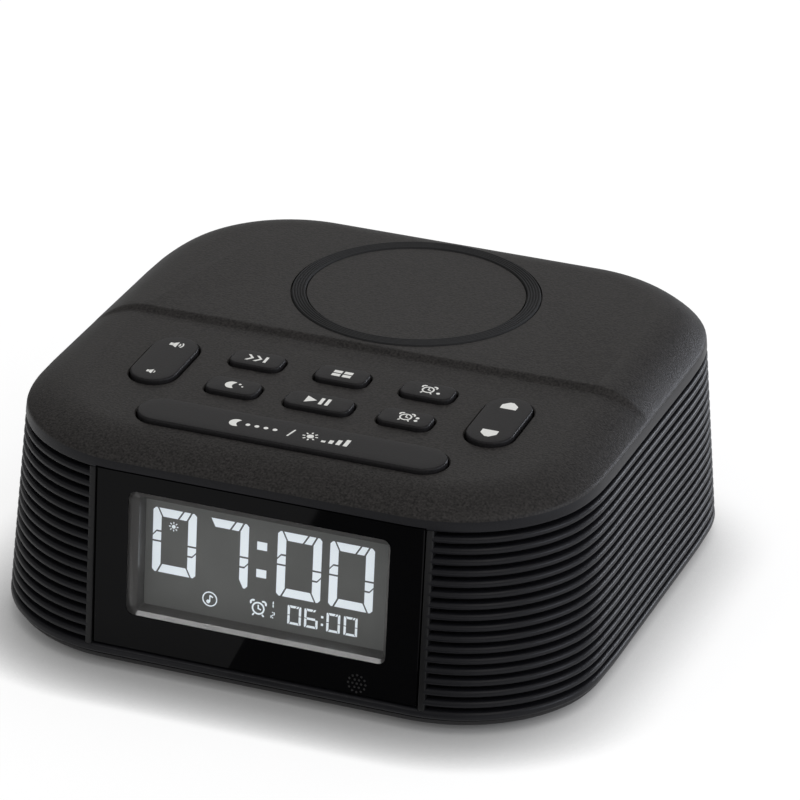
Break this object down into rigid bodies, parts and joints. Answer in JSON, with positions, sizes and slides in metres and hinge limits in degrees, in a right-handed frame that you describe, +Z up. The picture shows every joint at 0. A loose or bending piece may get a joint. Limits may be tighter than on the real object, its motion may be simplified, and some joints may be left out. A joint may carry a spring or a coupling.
{
  "type": "alarm clock speaker",
  "caption": "Square bedside alarm clock speaker with ribbed sides, a front display window, press keys, a snooze bar and two rockers on top, and a raised charging deck.",
  "frame": {"origin": "middle of the footprint, at the underside of the feet", "axes": "+Z up, front face towards -Y, +X to the right of someone facing the display"},
  "size_m": [0.132, 0.132, 0.0531],
  "materials": {
    "cover_plastic": "fine matt texture, charcoal",
    "rib_plastic": "satin, charcoal",
    "key_plastic": "matt, charcoal",
    "base_plastic": "matt, black",
    "socket_plastic": "satin, black",
    "switch_plastic": "satin, black",
    "lens": "high gloss, black printed border, clear window",
    "bezel": "satin, mid grey",
    "display": "smooth, grey, pale segments",
    "diffuser": "matt, white",
    "board": "solder mask, green",
    "steel": "plated",
    "copper": "enamelled wire",
    "ferrite": "sintered, dark grey",
    "magnet": "plated, grey",
    "cone": "coated paper, black",
    "rubber": "matt, black"
  },
  "bodies": {
    "case": {"grille_shell": "rib_plastic", "top_cover": "cover_plastic", "base_cover": "base_plastic", "button_cell": "steel", "key_board": "board", "display_lens": "lens", "display_bezel": "bezel", "display_glass": "display", "display_backlight": "diffuser", "display_board": "board", "microphone": "steel", "charging_coil": "copper", "coil_ferrite": "ferrite", "charger_board": "board", "anti_slip_ring": "rubber", "main_board": "board", "power_inlet": "socket_plastic", "charging_outlet": "steel", "audio_inlet": "socket_plastic", "rear_panel": "base_plastic", "foot_1": "rubber", "case_screw_1": "steel", "foot_2": "rubber", "case_screw_2": "steel", "foot_3": "rubber", "case_screw_3": "steel", "foot_4": "rubber", "case_screw_4": "steel", "volume_rocker_pin": "steel", "tuning_rocker_pin": "steel", "switch_scan": "switch_plastic", "switch_mode": "switch_plastic", "switch_alarm_one": "switch_plastic", "switch_sleep": "switch_plastic", "switch_play": "switch_plastic", "switch_alarm_two": "switch_plastic", "switch_snooze_bar_1": "switch_plastic", "switch_snooze_bar_2": "switch_plastic", "switch_volume_rocker_1": "switch_plastic", "switch_volume_rocker_2": "switch_plastic", "switch_tuning_rocker_1": "switch_plastic", "switch_tuning_rocker_2": "switch_plastic", "left_speaker_frame": "socket_plastic", "left_speaker_magnet": "magnet", "left_speaker_surround": "rubber", "right_speaker_frame": "socket_plastic", "right_speaker_magnet": "magnet", "right_speaker_surround": "rubber"},
    "key_scan_body": {"key_scan": "key_plastic"},
    "key_mode_body": {"key_mode": "key_plastic"},
    "key_alarm_one_body": {"key_alarm_one": "key_plastic"},
    "key_sleep_body": {"key_sleep": "key_plastic"},
    "key_play_body": {"key_play": "key_plastic"},
    "key_alarm_two_body": {"key_alarm_two": "key_plastic"},
    "snooze_bar_body": {"snooze_bar": "key_plastic"},
    "volume_rocker_body": {"volume_rocker": "key_plastic"},
    "tuning_rocker_body": {"tuning_rocker": "key_plastic"},
    "left_cone_body": {"left_speaker_cone": "cone"},
    "right_cone_body": {"right_speaker_cone": "cone"},
    "battery_door_body": {"battery_door": "base_plastic"}
  },
  "joints": [
    {"name": "key_scan_press", "type": "slide", "parent": "case", "child": "key_scan_body", "axis": [0, 0.0332, -0.9995], "range_m": [0, 0.0004], "stiffness_N_per_m": 300, "springref_m": -0.0001},
    {"name": "key_mode_press", "type": "slide", "parent": "case", "child": "key_mode_body", "axis": [0, 0.0332, -0.9995], "range_m": [0, 0.0004], "stiffness_N_per_m": 300, "springref_m": -0.0001},
    {"name": "key_alarm_one_press", "type": "slide", "parent": "case", "child": "key_alarm_one_body", "axis": [0, 0.0332, -0.9995], "range_m": [0, 0.0004], "stiffness_N_per_m": 300, "springref_m": -0.0001},
    {"name": "key_sleep_press", "type": "slide", "parent": "case", "child": "key_sleep_body", "axis": [0, 0.0332, -0.9995], "range_m": [0, 0.0004], "stiffness_N_per_m": 300, "springref_m": -0.0001},
    {"name": "key_play_press", "type": "slide", "parent": "case", "child": "key_play_body", "axis": [0, 0.0332, -0.9995], "range_m": [0, 0.0004], "stiffness_N_per_m": 300, "springref_m": -0.0001},
    {"name": "key_alarm_two_press", "type": "slide", "parent": "case", "child": "key_alarm_two_body", "axis": [0, 0.0332, -0.9995], "range_m": [0, 0.0004], "stiffness_N_per_m": 300, "springref_m": -0.0001},
    {"name": "snooze_bar_press", "type": "slide", "parent": "case", "child": "snooze_bar_body", "axis": [0, 0.0332, -0.9995], "range_m": [0, 0.0004], "stiffness_N_per_m": 300, "springref_m": -0.0001},
    {"name": "volume_rocker_tilt", "type": "hinge", "parent": "case", "child": "volume_rocker_body", "pos_m": [-0.0375, -0.02426, 0.04748], "axis": [1, 0, 0], "range_deg": [-2.5, 2.5], "stiffness_Nm_per_rad": 0.05},
    {"name": "tuning_rocker_tilt", "type": "hinge", "parent": "case", "child": "tuning_rocker_body", "pos_m": [0.0375, -0.02426, 0.04748], "axis": [1, 0, 0], "range_deg": [-2.5, 2.5], "stiffness_Nm_per_rad": 0.05},
    {"name": "left_cone_travel", "type": "slide", "parent": "case", "child": "left_cone_body", "axis": [-1, 0, 0], "range_m": [-0.0008, 0.0008], "stiffness_N_per_m": 500},
    {"name": "right_cone_travel", "type": "slide", "parent": "case", "child": "right_cone_body", "axis": [1, 0, 0], "range_m": [-0.0008, 0.0008], "stiffness_N_per_m": 500},
    {"name": "battery_door_turn", "type": "hinge", "parent": "case", "child": "battery_door_body", "pos_m": [0, -0.022, 0.001], "axis": [0, 0, 1], "range_deg": [0, 40]}
  ]
}
